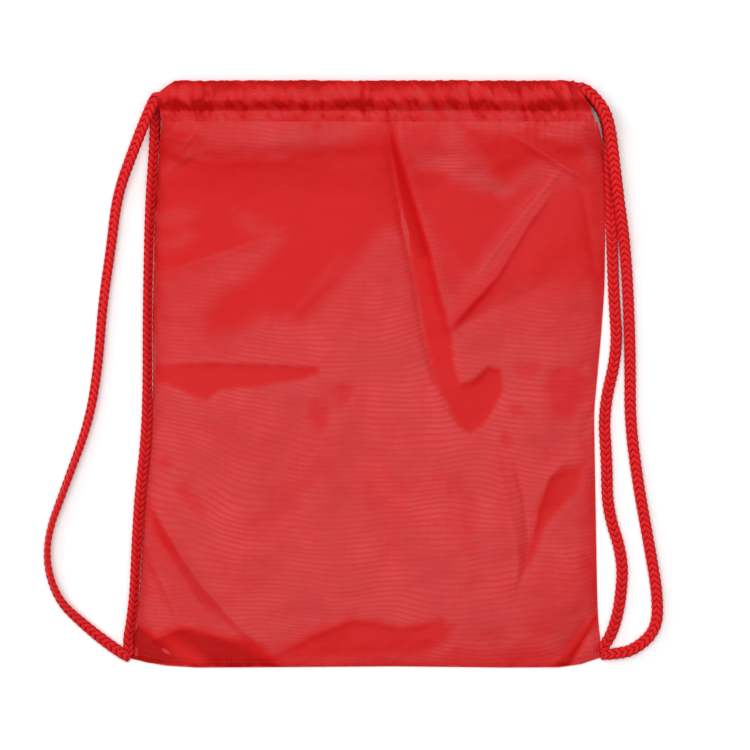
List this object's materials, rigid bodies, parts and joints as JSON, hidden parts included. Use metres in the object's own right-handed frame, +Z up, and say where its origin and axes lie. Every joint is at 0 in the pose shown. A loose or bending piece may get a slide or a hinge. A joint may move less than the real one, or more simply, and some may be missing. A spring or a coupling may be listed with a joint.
{
  "type": "drawstring bag",
  "caption": "Flat drawstring bag of thin woven cloth with a hemmed cord tunnel along its mouth; braided drawcords leave the tunnel ends and are sewn into the bottom corners as straps.",
  "frame": {"origin": "centre of the bag's outline, on the surface that it lies on", "axes": "+X to the bag's right, +Y from the bottom seam to the mouth, +Z up through the front panel"},
  "size_m": [0.452, 0.427, 0.0192],
  "materials": {
    "cloth": "thin, closely woven nylon with a coated sheen and soft creases",
    "cord": "flat braided polyester, slightly shiny yarns",
    "thread": "fine sewing thread in the cloth's colour"
  },
  "bodies": {
    "bag": {"back_panel": "cloth", "front_panel": "cloth", "back_hem_tunnel": "cloth", "front_hem_tunnel": "cloth", "front_hem_stitching": "thread", "back_hem_stitching": "thread", "left_side_seam_stitching": "thread", "right_side_seam_stitching": "thread", "bottom_seam_stitching": "thread", "left_overlock_thread": "thread", "right_overlock_thread": "thread", "bottom_overlock_thread": "thread", "left_slit_bartack": "thread", "right_slit_bartack": "thread", "left_corner_bartack": "thread", "right_corner_bartack": "thread", "left_drawcord_channel_run": "cord", "right_drawcord_channel_run": "cord"},
    "left_outer_loop": {"left_outer_strand": "cord"},
    "left_inner_loop": {"left_inner_strand": "cord"},
    "right_inner_loop": {"right_inner_strand": "cord"},
    "right_outer_loop": {"right_outer_strand": "cord"}
  },
  "joints": [
    {"name": "left_outer_strand_swing", "type": "hinge", "parent": "bag", "child": "left_outer_loop", "pos_m": [-0.155, 0.1984, 0.0157], "axis": [0.0648, 0.9975, 0.0296], "range_deg": [0, 110]},
    {"name": "left_inner_strand_swing", "type": "hinge", "parent": "bag", "child": "left_inner_loop", "pos_m": [-0.155, 0.1984, 0.0037], "axis": [-0.0513, -0.9987, 0.0003], "range_deg": [0, 100]},
    {"name": "right_inner_strand_swing", "type": "hinge", "parent": "bag", "child": "right_inner_loop", "pos_m": [0.1645, 0.2038, 0.0037], "axis": [0.0233, -0.9997, 0.0008], "range_deg": [0, 100]},
    {"name": "right_outer_strand_swing", "type": "hinge", "parent": "bag", "child": "right_outer_loop", "pos_m": [0.1645, 0.2038, 0.0157], "axis": [0.0331, -0.999, -0.0292], "range_deg": [0, 110]}
  ]
}
